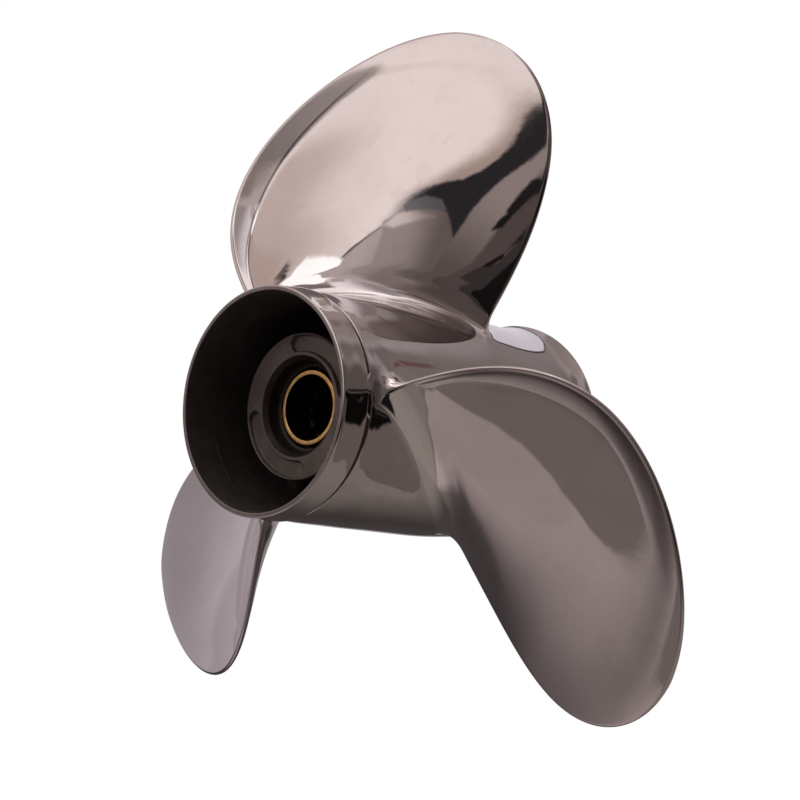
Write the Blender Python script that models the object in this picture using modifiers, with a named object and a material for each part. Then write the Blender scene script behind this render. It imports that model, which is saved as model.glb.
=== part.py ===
"""Outboard-motor ship propeller: right-hand, three blades, hub exhaust.

Frame (metres): the shaft runs along Y, +Y is forward (towards the boat),
+Z is up.  The origin is on the shaft axis in the plane of the forward thrust
face.  Angles are clockwise seen from aft, from +Z:  x = r sin a, z = r cos a.
"""
import math

import bmesh
import bpy
import numpy as np
from mathutils import Matrix, Vector

MM = 0.001
GAP = 0.3                      # between pieces that touch, mm

# ---------------------------------------------------------------- dimensions
# All in millimetres.  "ax" is the place along the shaft, forward positive.
DIAMETER = 282.6               # 11 1/8 in
TIP_R = DIAMETER / 2
ROOT_R = 38.0                  # construction radius at the blade root
N_BLADES = 3

RIM_AX = -103.5                # aft rim of the exhaust barrel
SEAM_AX = -91.0                # seam between the aft ring and the barrel
FRONT_AX = 27.2                # forward rim of the barrel

# barrel, outside: (ax, radius)
BARREL_OUT = [(-90.7, 36.7), (-90.7, 37.6), (-89.6, 38.35), (-82.0, 38.9), (-68.0, 39.6),
              (-50.0, 40.2), (-20.0, 41.1), (5.0, 40.1), (19.0, 40.3),
              (24.5, 41.3), (27.2, 42.2)]
BARREL_WALL_AFT = 37.0         # inner radius just ahead of the seam
BARREL_IN = [(27.2, 40.7), (22.0, 39.2), (14.0, 38.3), (0.0, 38.2),
             (-20.0, 38.2), (-60.0, 37.5), (-84.0, 36.6)]

# aft ring, outside then inside
RING_OUT = [(-103.5, 37.5), (-102.9, 38.2), (-98.0, 38.6), (-94.2, 39.1),
            (-92.2, 39.15), (-91.3, 38.5), (-91.0, 37.6)]
RING_IN = [(-91.0, 35.9), (-97.0, 36.1), (-103.1, 36.6), (-103.5, 37.0)]
SPIGOT_R = 36.3                # the ring's spigot goes inside the barrel

CORE_R = 24.83                 # inner hub
CORE_AFT = -85.85
CORE_FWD = -3.0
CORE_MOUTH_R = 17.3            # chamfered mouth, aft
CORE_WALL_R = 15.6
CORE_LEDGE_AX = -80.2          # stepped ledge that stops the bushing
CORE_LEDGE_R = 13.8
BUSH_BORE_R = 19.4
RECESS_R = (18.4, 24.2)        # two arc recesses in the aft face
RECESS_DEEP = 1.0
RECESS_ARCS = [(-9.7, 88.0), (173.0, 270.0)]

SLEEVE_R = 12.8                # brass splined sleeve
SLEEVE_AFT = -80.7
SLEEVE_FWD = 0.0
SLEEVE_MOUTH_R = 11.2
SPLINE_TEETH = 13
SPLINE_MINOR_R = 9.4
SPLINE_MAJOR_R = 10.9

WEB_ANGLES = (71.5, 191.5, 311.5)
WEB_THICK = 5.0
WEB_AFT_CORE, WEB_AFT_BARREL = -84.5, -70.0
WEB_FWD_CORE, WEB_FWD_BARREL = -8.0, -16.0

# Blade outline, one row per station from the root to the tip.
# (trailing-edge angle, trailing-edge ax, leading-edge angle, leading-edge ax)
# Station i stands at radius ROOT_R + (TIP_R - ROOT_R) sin(pi i / 16).
BLADE_STATIONS = [
    (-33.9, -83.2, 41.5, -21.9),
    (-35.4, -81.4, 38.6, -18.5),
    (-34.7, -76.9, 36.3, -17.1),
    (-31.2, -70.2, 33.9, -17.3),
    (-24.7, -61.7, 30.9, -18.6),
    (-15.2, -52.1, 26.9, -20.5),
    (-5.2, -43.2, 22.0, -23.3),
    (3.1, -36.5, 16.3, -27.0),
    (10.1, -31.4, 10.1, -31.4),
]
ROOT_THICK, TIP_THICK = 7.6, 2.4
EDGE_THICK = 1.7
CUP_HIGH, CUP_WIDE = 3.2, 10.0  # trailing-edge cup
CAMBER = 2.6                    # at mid span
FILLET_R = 6.5

# mesh fineness
STEPS = 56
CORE_STEPS = 40
CHORD_N = 16
SPAN_N = 12


# ---------------------------------------------------------------- scene
for ob in list(bpy.data.objects):
    bpy.data.objects.remove(ob, do_unlink=True)

parts = bpy.data.collections.new("ship_propeller")
cutters = bpy.data.collections.new("cutters")
bpy.context.scene.collection.children.link(parts)
bpy.context.scene.collection.children.link(cutters)


def material(name, colour, rough, metal):
    m = bpy.data.materials.new(name)
    m.use_nodes = True
    p = m.node_tree.nodes["Principled BSDF"]
    p.inputs["Base Color"].default_value = (*colour, 1)
    p.inputs["Roughness"].default_value = rough
    p.inputs["Metallic"].default_value = metal
    return m


POLISH = (0.60, 0.57, 0.56)
MATS = {
    "hub_barrel": material("hub_barrel_steel", POLISH, 0.12, 1),
    "aft_ring": material("aft_ring_steel", POLISH, 0.12, 1),
    "blade_1": material("blade_1_steel", POLISH, 0.08, 1),
    "blade_2": material("blade_2_steel", POLISH, 0.08, 1),
    "blade_3": material("blade_3_steel", POLISH, 0.08, 1),
    "inner_hub": material("inner_hub_cast", (0.30, 0.28, 0.26), 0.55, 1),
    "web_1": material("web_1_cast", (0.26, 0.24, 0.23), 0.5, 1),
    "web_2": material("web_2_cast", (0.26, 0.24, 0.23), 0.5, 1),
    "web_3": material("web_3_cast", (0.26, 0.24, 0.23), 0.5, 1),
    "rubber_bushing": material("bushing_rubber", (0.02, 0.02, 0.02), 0.7, 0),
    "spline_sleeve": material("sleeve_brass", (0.62, 0.42, 0.16), 0.3, 1),
}


def new_object(name, mesh, coll=None):
    ob = bpy.data.objects.new(name, mesh)
    (coll or parts).objects.link(ob)
    if name in MATS:
        mesh.materials.append(MATS[name])
    return ob


def smooth(ob, angle=35):
    ob.data.shade_smooth()
    ob.data.set_sharp_from_angle(angle=math.radians(angle))


# ---------------------------------------------------------------- turned pieces
def turned(name, outer, inner, steps, coll=None):
    """A ring turned about the shaft.  outer runs from forward to aft down the
    outside, inner from aft to forward up the bore; both are (ax, radius)."""
    bm = bmesh.new()
    loop = [bm.verts.new((r * MM, 0, ax * MM)) for ax, r in list(outer) + list(inner)]
    for a, b in zip(loop, loop[1:] + loop[:1]):
        bm.edges.new((a, b))
    me = bpy.data.meshes.new(name)
    bm.to_mesh(me)
    bm.free()
    ob = new_object(name, me, coll)
    ob.rotation_euler = (math.radians(-90), 0, 0)       # local Z is the shaft
    sc = ob.modifiers.new("turn", "SCREW")
    sc.axis = "Z"
    sc.angle = math.radians(360)
    sc.steps = sc.render_steps = steps
    sc.use_merge_vertices = True
    sc.merge_threshold = 0.00001
    sc.use_smooth_shade = True
    return ob


turned("hub_barrel", BARREL_OUT[::-1],
       [(-90.7, BARREL_WALL_AFT - GAP)] + BARREL_IN[::-1][0:], STEPS)
turned("aft_ring", RING_OUT[::-1], RING_IN[::-1], STEPS)

core_outer = [(CORE_FWD, 22.3), (CORE_FWD - 2.5, CORE_R), (CORE_AFT + 1.0, CORE_R),
              (CORE_AFT, CORE_R - 0.5)]
core_inner = [(CORE_AFT, CORE_MOUTH_R), (CORE_AFT + 1.3, CORE_WALL_R),
              (CORE_LEDGE_AX - 0.5, CORE_WALL_R - 0.2), (CORE_LEDGE_AX, 14.9),
              (CORE_LEDGE_AX + 0.4, CORE_LEDGE_R), (CORE_LEDGE_AX + 2.6, CORE_LEDGE_R),
              (CORE_LEDGE_AX + 2.8, BUSH_BORE_R), (CORE_FWD, BUSH_BORE_R)]
core = turned("inner_hub", core_outer, core_inner, CORE_STEPS)

bush_aft, bush_fwd = CORE_LEDGE_AX + 2.8 + GAP, CORE_FWD - 1.5
turned("rubber_bushing",
       [(bush_fwd, BUSH_BORE_R - GAP - 0.8), (bush_fwd - 0.8, BUSH_BORE_R - GAP),
        (bush_aft, BUSH_BORE_R - GAP)],
       [(bush_aft, SLEEVE_R + GAP), (bush_fwd, SLEEVE_R + GAP)], CORE_STEPS)

sleeve = turned("spline_sleeve",
                [(SLEEVE_FWD, SLEEVE_R - 0.5), (SLEEVE_FWD - 0.5, SLEEVE_R),
                 (SLEEVE_AFT + 0.3, SLEEVE_R), (SLEEVE_AFT, SLEEVE_R - 0.3)],
                [(SLEEVE_AFT, SLEEVE_MOUTH_R + 0.2), (SLEEVE_AFT + 0.3, SLEEVE_MOUTH_R),
                 (SLEEVE_AFT + 12.0, SLEEVE_MOUTH_R), (SLEEVE_AFT + 13.0, SPLINE_MINOR_R),
                 (SLEEVE_FWD - 1.0, SPLINE_MINOR_R), (SLEEVE_FWD, SPLINE_MINOR_R + 1.0)],
                CORE_STEPS)


# ---------------------------------------------------------------- cutters
def prism(name, outline, ax0, ax1):
    """A flat outline (x, z in mm) drawn as a filled 2D curve and extruded along
    the shaft from ax0 to ax1, then made a mesh so that it can cut."""
    cu = bpy.data.curves.new(name + "_outline", "CURVE")
    cu.dimensions = "2D"
    cu.fill_mode = "BOTH"
    cu.extrude = abs(ax1 - ax0) / 2 * MM
    sp = cu.splines.new("POLY")
    sp.points.add(len(outline) - 1)
    for p, (x, z) in zip(sp.points, outline):
        p.co = (x * MM, z * MM, 0, 1)
    sp.use_cyclic_u = True
    tmp = bpy.data.objects.new(name + "_tmp", cu)
    cutters.objects.link(tmp)
    # curve X is X, curve Y is Z, curve Z runs along the shaft
    tmp.matrix_world = Matrix.Translation((0, (ax0 + ax1) / 2 * MM, 0)) @ \
        Matrix.Rotation(math.radians(90), 4, "X")
    bpy.context.view_layer.update()
    ev = tmp.evaluated_get(bpy.context.evaluated_depsgraph_get())
    me = bpy.data.meshes.new_from_object(ev)
    bm = bmesh.new()
    bm.from_mesh(me)
    bmesh.ops.remove_doubles(bm, verts=bm.verts, dist=1e-7)
    bmesh.ops.recalc_face_normals(bm, faces=bm.faces)
    bm.to_mesh(me)
    bm.free()
    ob = bpy.data.objects.new(name, me)
    cutters.objects.link(ob)
    ob.matrix_world = tmp.matrix_world.copy()
    bpy.data.objects.remove(tmp, do_unlink=True)
    ob.hide_render = True
    ob.display_type = "WIRE"
    return ob


def polar(r, a):
    return (r * math.sin(math.radians(a)), r * math.cos(math.radians(a)))


def arc_slot(r0, r1, a0, a1, n=12, m=6):
    """Outline of an arc-shaped slot with round ends that reach a0 and a1."""
    rm, rc = (r0 + r1) / 2, (r1 - r0) / 2
    da = math.degrees(rc / rm)
    a0, a1 = a0 + da, a1 - da
    pts = [polar(r1, a0 + (a1 - a0) * i / n) for i in range(n + 1)]
    for a, start in ((a1, 0), (a0, 180)):
        if start:
            pts += [polar(r0, a1 + (a0 - a1) * i / n) for i in range(n + 1)]
        cx, cz = polar(rm, a)
        for i in range(1, m):
            t = math.radians(start + 180 * i / m)
            # from the outer side round the end to the inner side
            ux, uz = polar(1, a)
            tx, tz = uz, -ux
            pts.append((cx + rc * (math.cos(t) * ux + math.sin(t) * tx),
                        cz + rc * (math.cos(t) * uz + math.sin(t) * tz)))
    return pts


def cut(ob, tool):
    b = ob.modifiers.new(tool.name, "BOOLEAN")
    b.operation = "DIFFERENCE"
    b.solver = "EXACT"
    b.object = tool


for i, (a0, a1) in enumerate(RECESS_ARCS):
    cut(core, prism("recess_cutter_%d" % (i + 1), arc_slot(*RECESS_R, a0, a1),
                    CORE_AFT - 2, CORE_AFT + RECESS_DEEP))

spline = []
for i in range(SPLINE_TEETH):
    a = 360 / SPLINE_TEETH * i
    w = 360 / SPLINE_TEETH
    spline += [polar(SPLINE_MINOR_R - 0.6, a - 0.30 * w), polar(SPLINE_MAJOR_R, a - 0.22 * w),
               polar(SPLINE_MAJOR_R, a + 0.22 * w), polar(SPLINE_MINOR_R - 0.6, a + 0.30 * w)]
cut(sleeve, prism("spline_cutter", spline, SLEEVE_AFT + 6, SLEEVE_FWD + 3))


# ---------------------------------------------------------------- webs
def barrel_out_r(ax):
    t = sorted(BARREL_OUT[1:])
    return float(np.interp(ax, [p[0] for p in t], [p[1] for p in t]))


def barrel_in_r(ax):
    t = sorted(BARREL_IN)
    return float(np.interp(ax, [p[0] for p in t], [p[1] for p in t]))


def web(name, angle):
    """A rib from the inner hub to the barrel.  Its outline is drawn in the
    plane through the shaft (axial, radial) and thickened by Solidify."""
    bm = bmesh.new()
    inner = [(WEB_AFT_CORE + (WEB_FWD_CORE - WEB_AFT_CORE) * i / 4, None) for i in range(5)]
    outer = [(WEB_FWD_BARREL + (WEB_AFT_BARREL - WEB_FWD_BARREL) * i / 6, None) for i in range(7)]
    half = WEB_THICK / 2
    pts = [(ax, CORE_R + GAP) for ax, _ in inner]
    for ax, _ in outer:
        rr = barrel_in_r(ax) * math.cos(math.pi / STEPS) - GAP
        pts.append((ax, math.sqrt(rr * rr - half * half)))
    verts = [bm.verts.new((0, ax * MM, r * MM)) for ax, r in pts]
    bm.faces.new(verts)
    me = bpy.data.meshes.new(name)
    bm.to_mesh(me)
    bm.free()
    ob = new_object(name, me)
    ob.rotation_euler = (0, math.radians(angle), 0)
    so = ob.modifiers.new("thickness", "SOLIDIFY")
    so.thickness = WEB_THICK * MM
    so.offset = 0
    return ob


for i, a in enumerate(WEB_ANGLES):
    web("web_%d" % (i + 1), a)


# ---------------------------------------------------------------- blades
def spline_through(xs, ys, xq):
    """Natural cubic spline through (xs, ys), read at xq."""
    xs, ys, xq = (np.asarray(v, float) for v in (xs, ys, xq))
    n = len(xs)
    h = np.diff(xs)
    A = np.zeros((n, n))
    b = np.zeros(n)
    A[0, 0] = A[-1, -1] = 1
    for i in range(1, n - 1):
        A[i, i - 1:i + 2] = h[i - 1], 2 * (h[i - 1] + h[i]), h[i]
        b[i] = 3 * ((ys[i + 1] - ys[i]) / h[i] - (ys[i] - ys[i - 1]) / h[i - 1])
    c = np.linalg.solve(A, b)
    k = np.clip(np.searchsorted(xs, xq, side="right") - 1, 0, n - 2)
    d = (c[k + 1] - c[k]) / (3 * h[k])
    e = (ys[k + 1] - ys[k]) / h[k] - h[k] * (2 * c[k] + c[k + 1]) / 3
    t = xq - xs[k]
    return ys[k] + e * t + c[k] * t ** 2 + d * t ** 3


# the whole edge in one sweep: trailing edge root -> tip -> leading edge root
EDGE_U = np.linspace(0, 1, 17)
EDGE_A = [s[0] for s in BLADE_STATIONS] + [s[2] for s in BLADE_STATIONS[-2::-1]]
EDGE_Y = [s[1] for s in BLADE_STATIONS] + [s[3] for s in BLADE_STATIONS[-2::-1]]


def edge(u):
    return (float(spline_through(EDGE_U, EDGE_A, [u])[0]),
            float(spline_through(EDGE_U, EDGE_Y, [u])[0]))


def fillet(z):
    """Width added by the root fillet at height z over the barrel."""
    z = min(max(z, 0.0), FILLET_R)
    return FILLET_R - math.sqrt(FILLET_R ** 2 - (FILLET_R - z) ** 2)


def blade_section(u, c_list, lift, across=(-1, 0, 1)):
    """Points (x, ax, z) of one blade section for each chord fraction c (0
    trailing edge, 1 leading edge), across from pressure to suction side."""
    r = ROOT_R + (TIP_R - ROOT_R) * math.sin(math.pi * u)
    a0, y0 = edge(u)
    a1, y1 = edge(1 - u)
    span = (r - ROOT_R) / (TIP_R - ROOT_R)
    top = max(0.0, 1 - span) ** 0.5
    thick = TIP_THICK + (ROOT_THICK - TIP_THICK) * (1 - span) ** 1.25
    extra = fillet(lift + GAP)
    chord = math.hypot(math.radians(a1 - a0) * r, y1 - y0)
    cup = CUP_HIGH * min(1, chord / 40)
    out = []
    for c in c_list:
        s = -extra + c * (chord + 2 * extra)          # along the chord, mm
        f = s / chord if chord > 1e-6 else 0.0
        cc = min(max(f, 0), 1)
        a = math.radians(a0 + (a1 - a0) * f)
        y = y0 + (y1 - y0) * f
        sc = min(max(s / CUP_WIDE, 0), 1)
        y += cup * (1 - (1 - sc) ** 2) * (1 - cc)
        y += CAMBER * top * 4 * cc * (1 - cc)
        # section normal on the unrolled cylinder, pointing forward
        tx, ty = math.radians(a1 - a0) * r, (y1 - y0)
        L = math.hypot(tx, ty) or 1.0
        nx, ny = -ty / L, tx / L
        d = min(c, 1 - c) * (chord + 2 * extra)
        w = 1.2 + extra
        g = math.sqrt(1 - (1 - min(d / w, 1)) ** 2)
        body = EDGE_THICK + max(thick - EDGE_THICK, 0) * math.sin(math.pi * cc) ** 0.8
        h = (body / 2 + 0.85 * extra) * g
        row = []
        for k in across:
            aa = a + k * h * nx / r
            yy = y + k * h * ny
            rr = r
            if lift < 900:
                rr = barrel_out_r(yy) + GAP + lift
            row.append((rr * math.sin(aa), yy, rr * math.cos(aa)))
        out.append(row)
    return out


def blade(name, index):
    cs = [0.5 - 0.5 * math.cos(math.pi * i / CHORD_N) for i in range(CHORD_N + 1)]
    us, lifts = [], []
    # two rows that follow the barrel, then plain cylinders out to the tip
    for z in (0.0, 1.2, 3.2):
        us.append(math.asin(min(1, (40.4 + z - ROOT_R) / (TIP_R - ROOT_R))) / math.pi)
        lifts.append(z)
    u_first = math.asin((48.0 - ROOT_R) / (TIP_R - ROOT_R)) / math.pi
    for i in range(SPAN_N):
        us.append(u_first + (0.5 - u_first) * (i / SPAN_N) ** 0.85)
        lifts.append(1000.0)
    bm = bmesh.new()
    rows = []
    for u, z in zip(us, lifts):
        sec = blade_section(u, cs, z)
        press = [bm.verts.new([v * MM for v in sec[0][1]])]
        suct = [press[0]]
        for p in sec[1:-1]:
            press.append(bm.verts.new([v * MM for v in p[0]]))
            suct.append(bm.verts.new([v * MM for v in p[2]]))
        end = bm.verts.new([v * MM for v in sec[-1][1]])
        press.append(end)
        suct.append(end)
        rows.append((press, suct))
    # closing strips under the root, with inner lines that follow the barrel
    sec = blade_section(us[0], cs, lifts[0], (-0.5, 0, 0.5))
    under = [rows[0][0]]
    for k in range(3):
        under.append([rows[0][0][0]] + [bm.verts.new([v * MM for v in p[k]])
                                        for p in sec[1:-1]] + [rows[0][0][-1]])
    under.append(rows[0][1])

    def strip(lo, hi, flip):
        for i in range(len(lo) - 1):
            q = [lo[i], lo[i + 1], hi[i + 1], hi[i]]
            q = [v for j, v in enumerate(q) if v not in q[:j]]
            if len(q) > 2:
                bm.faces.new(q[::-1] if flip else q)

    for (p0, s0), (p1, s1) in zip(rows, rows[1:]):
        strip(p0, p1, False)
        strip(s0, s1, True)
    for lo, hi in zip(under, under[1:]):
        strip(lo, hi, True)
    # the tip is one point
    a, y = edge(0.5)
    tip = bm.verts.new([v * MM for v in (TIP_R * math.sin(math.radians(a)), y,
                                         TIP_R * math.cos(math.radians(a)))])
    for side, flip in ((rows[-1][0], False), (rows[-1][1], True)):
        for i in range(len(side) - 1):
            q = [side[i], side[i + 1], tip]
            bm.faces.new(q[::-1] if flip else q)
    bmesh.ops.recalc_face_normals(bm, faces=bm.faces)
    bmesh.ops.triangulate(bm, faces=bm.faces)
    me = bpy.data.meshes.new(name)
    bm.to_mesh(me)
    bm.free()
    ob = new_object(name, me)
    ob.rotation_euler = (0, math.radians(360 / N_BLADES * index), 0)
    smooth(ob, 50)
    return ob


for i in range(N_BLADES):
    blade("blade_%d" % (i + 1), i)

bpy.context.view_layer.update()
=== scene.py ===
"""Looks of the ship propeller: the polished casting, its matt inside, the
rubber bushing and the brass sleeve, in a plain white studio.

Same frame as the CAD: the shaft runs along Y, +Y forward, +Z up.  A place on
the blades and the barrel is (r sin a, ax, r cos a), a clockwise seen from aft.
Lengths in the shape code are millimetres.
"""
import math

import bmesh
import bpy
import numpy as np
from mathutils import Matrix, Vector


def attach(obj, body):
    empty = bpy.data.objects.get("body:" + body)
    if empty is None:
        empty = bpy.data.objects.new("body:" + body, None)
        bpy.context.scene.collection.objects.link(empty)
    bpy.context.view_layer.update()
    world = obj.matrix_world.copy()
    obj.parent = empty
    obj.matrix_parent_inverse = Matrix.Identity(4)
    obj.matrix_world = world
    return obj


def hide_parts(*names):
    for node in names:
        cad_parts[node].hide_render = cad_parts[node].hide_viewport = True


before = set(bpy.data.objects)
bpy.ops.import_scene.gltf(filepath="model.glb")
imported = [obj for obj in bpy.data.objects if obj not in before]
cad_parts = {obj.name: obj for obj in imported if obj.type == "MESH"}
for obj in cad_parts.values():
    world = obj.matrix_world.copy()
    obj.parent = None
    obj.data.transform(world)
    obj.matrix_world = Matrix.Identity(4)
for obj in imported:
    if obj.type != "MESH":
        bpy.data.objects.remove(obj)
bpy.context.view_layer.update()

MM = 0.001
scene = bpy.context.scene


# ================================================================ shape laws
def spline(xs, ys, xq):
    """Natural cubic spline through (xs, ys), read at xq (an array)."""
    xs, ys, xq = (np.asarray(v, float) for v in (xs, ys, xq))
    n = len(xs)
    h = np.diff(xs)
    A = np.zeros((n, n))
    b = np.zeros(n)
    A[0, 0] = A[-1, -1] = 1
    for i in range(1, n - 1):
        A[i, i - 1:i + 2] = h[i - 1], 2 * (h[i - 1] + h[i]), h[i]
        b[i] = 3 * ((ys[i + 1] - ys[i]) / h[i] - (ys[i] - ys[i - 1]) / h[i - 1])
    c = np.linalg.solve(A, b)
    k = np.clip(np.searchsorted(xs, xq, side="right") - 1, 0, n - 2)
    d = (c[k + 1] - c[k]) / (3 * h[k])
    e = (ys[k + 1] - ys[k]) / h[k] - h[k] * (2 * c[k] + c[k + 1]) / 3
    t = xq - xs[k]
    return ys[k] + e * t + c[k] * t ** 2 + d * t ** 3


def smoothstep(a, b, x):
    t = np.clip((np.asarray(x, float) - a) / (b - a), 0, 1)
    return t * t * (3 - 2 * t)


TIP_R, ROOT_R = 141.3, 38.0
STATIONS = [                       # trailing edge angle, ax; leading edge angle, ax
    (-33.9, -83.2, 41.5, -21.9), (-35.4, -81.4, 38.6, -18.5), (-34.7, -76.9, 36.3, -17.1),
    (-31.2, -70.2, 33.9, -17.3), (-24.7, -61.7, 30.9, -18.6), (-15.2, -52.1, 26.9, -20.5),
    (-5.2, -43.2, 22.0, -23.3), (3.1, -36.5, 16.3, -27.0), (10.1, -31.4, 10.1, -31.4)]
EDGE_U = np.linspace(0, 1, 17)
EDGE_A = [s[0] for s in STATIONS] + [s[2] for s in STATIONS[-2::-1]]
PITCH = [(30, 292), (38, 298), (60, 306), (80, 302), (100, 289), (120, 272), (141.3, 257)]
RAKE = [(30, -53.6), (38, -52.55), (58.2, -49.95), (77.5, -47.0), (95.4, -43.75),
        (111, -40.15), (123.9, -36.5), (133.4, -33.4), (141.3, -30.9)]
CUP_W = [(38, 1.2), (42, 1.6), (55, 2.6), (68, 4.4), (78, 6.4), (90, 8.6), (100, 9.2),
         (110, 8.6), (120, 7.6), (128, 5.6), (135, 3.0), (141.3, 1.6)]
CAMBER = 2.6
ROOT_T, TIP_T = 7.4, 2.5           # blade thickness
EDGE_R, EDGE_W = 0.85, 1.15        # rounding of the blade's edge
FILLET, FILLET_Q = 11.0, 1.35       # reach of the root fillet; 1 would be a plain quarter circle
BARREL = [(-90.7, 38.0), (-86, 38.65), (-75, 39.3), (-60, 39.9), (-50, 40.2), (-35, 40.75),
          (-20, 41.1), (-8, 40.75), (5, 40.1), (12, 39.95), (19, 40.25), (24, 41.1),
          (27.2, 42.25)]


def barrel_r(ax):
    return spline(*zip(*BARREL), np.clip(ax, -90.7, 27.2))


def u_of_r(r):
    return np.arcsin(np.clip((r - ROOT_R) / (TIP_R - ROOT_R), 0, 1)) / np.pi


def edge_angles(r):
    u = u_of_r(r)
    return spline(EDGE_U, EDGE_A, u), spline(EDGE_U, EDGE_A, 1 - u)


def plain_mean(r, th):
    """ax of the blade's plain helical sheet, no camber and no cup."""
    a0, a1 = edge_angles(r)
    return spline(*zip(*RAKE), r) + (th - (a0 + a1) / 2) * spline(*zip(*PITCH), r) / 360


def xyz(r, a, ax):
    a = np.radians(a)
    return np.stack([r * np.sin(a), ax + 0 * r, r * np.cos(a)], -1)


# the outline as a fine line in space: trailing edge root -> tip -> leading edge root
_u = np.linspace(0, 1, 2401)
_r = ROOT_R + (TIP_R - ROOT_R) * np.sin(np.pi * _u)
_a = spline(EDGE_U, EDGE_A, _u)
OUTLINE = xyz(_r, _a, plain_mean(_r, _a))
OUTLINE_U = _u


def nearest(P, lo, hi):
    """Distance from points P to the outline between parameters lo and hi, and
    the parameter of the nearest place."""
    sel = (OUTLINE_U >= lo - 1e-9) & (OUTLINE_U <= hi + 1e-9)
    L, U = OUTLINE[sel], OUTLINE_U[sel]
    flat = P.reshape(-1, 3)
    dist, par = np.empty(len(flat)), np.empty(len(flat))
    for i in range(0, len(flat), 4000):
        p = flat[i:i + 4000]
        d2 = (p ** 2).sum(1)[:, None] + (L ** 2).sum(1)[None] - 2 * p @ L.T
        j = np.clip(d2.argmin(1), 1, len(L) - 2)
        best = np.full(len(p), 1e9)
        bu = np.zeros(len(p))
        for k in (j - 1, j):
            a, b = L[k], L[k + 1]
            t = np.clip(((p - a) * (b - a)).sum(1) / ((b - a) ** 2).sum(1), 0, 1)
            d = np.linalg.norm(p - (a + t[:, None] * (b - a)), axis=1)
            better = d < best
            best = np.where(better, d, best)
            bu = np.where(better, U[k] + t * (U[k + 1] - U[k]), bu)
        dist[i:i + 4000], par[i:i + 4000] = best, bu
    return dist.reshape(P.shape[:-1]), par.reshape(P.shape[:-1])


LIP_EDGE, LIP_IN = 0.60, 0.42      # slope of the lip at the edge and where it leaves the face
LIP_CURL = [1.0, 1.0, 0.15]        # per blade, chosen to fit the outline seen in this view; the blades are alike
lip_curl = 1.0                     # that of the blade being drawn
FACE_RISE = 3.0                    # how far the face stands off the edge's own sheet, well inside


def cup_drop(d, W):
    """How far the blade has risen off its lip at distance d from the edge, for
    a lip of width W: a curl, then a bend that dies out in the face."""
    B = 1.5 + 0.25 * W
    one = np.minimum(d, W)
    x = np.clip((d - W) / B, 0, 1)
    return LIP_EDGE * one + (LIP_IN - LIP_EDGE) * one ** 2 / (2 * W) + LIP_IN * B / 3 * (
        1 - (1 - x) ** 3)


def mean_sheet(r, th):
    """The blade's mean surface with camber and cup, in space, for radius r and
    the sheet's own angle th."""
    a0, a1 = edge_angles(r)
    P = spline(*zip(*PITCH), r)
    ax = spline(*zip(*RAKE), r) + (th - (a0 + a1) / 2) * P / 360
    k = np.hypot(np.radians(1) * r, P / 360)        # mm of chord in a degree
    s, e = (th - a0) * k, (a1 - th) * k
    off = CAMBER * 4 * s * e / 110 ** 2 * smoothstep(-3, 3, np.minimum(s, e) + 3)
    flat = xyz(r, th, ax)
    d, _ = nearest(flat, 0.0, 0.56)
    W = spline(*zip(*CUP_W), r)
    fade = (1 - 0.5 * smoothstep(104, 126, r)) * (1 - smoothstep(121, 137, r)) * smoothstep(40, 52, r) * lip_curl
    d = np.where(s < 0, 0, d)
    chord = np.maximum((a1 - a0) * k, 1e-6)
    lip = cup_drop(d, W) * fade
    rest = FACE_RISE * (0.3 + 0.7 * lip_curl) * smoothstep(38, 78, r) * (1 - 0.6 * smoothstep(98, 138, r)) - cup_drop(99.0, W) * fade
    off = off + (lip + rest * smoothstep(0, 36, d)) * np.clip(e / chord, 0, 1)
    nx, ny = -(P / 360) / k, np.radians(1) * r / k   # forward normal on the cylinder
    return xyz(r, th + np.degrees(off * nx / r), ax + off * ny)


WAVES = np.random.RandomState(11)
_wd = WAVES.normal(size=(14, 3))
_wd /= np.linalg.norm(_wd, axis=1, keepdims=True)
_wl = WAVES.uniform(17, 60, 14)
_wp = WAVES.uniform(0, 2 * np.pi, 14)


def unevenness(P, seed_shift):
    """Height of the hand-ground surface over the drawn one, mm."""
    z = np.zeros(P.shape[:-1])
    for d, l, p in zip(_wd, _wl, _wp):
        z += (l / 40) ** 1.3 * np.sin(P @ d * 2 * np.pi / l + p + seed_shift)
    return z * 0.006


# ================================================================ mesh helpers
def add_object(name, verts, faces, materials, index=None, smooth=True):
    me = bpy.data.meshes.new(name)
    me.from_pydata([tuple(v) for v in np.asarray(verts) * MM], [], faces)
    for m in materials:
        me.materials.append(m)
    if index is not None:
        me.polygons.foreach_set("material_index", np.asarray(index, np.int32))
    me.polygons.foreach_set("use_smooth", np.full(len(me.polygons), smooth))
    me.update()
    bm = bmesh.new()
    bm.from_mesh(me)
    bmesh.ops.remove_doubles(bm, verts=bm.verts, dist=1e-8)
    bmesh.ops.dissolve_degenerate(bm, edges=bm.edges, dist=1e-9)
    bmesh.ops.recalc_face_normals(bm, faces=bm.faces)
    bm.to_mesh(me)
    bm.free()
    me.validate()
    ob = bpy.data.objects.new(name, me)
    scene.collection.objects.link(ob)
    return ob


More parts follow.
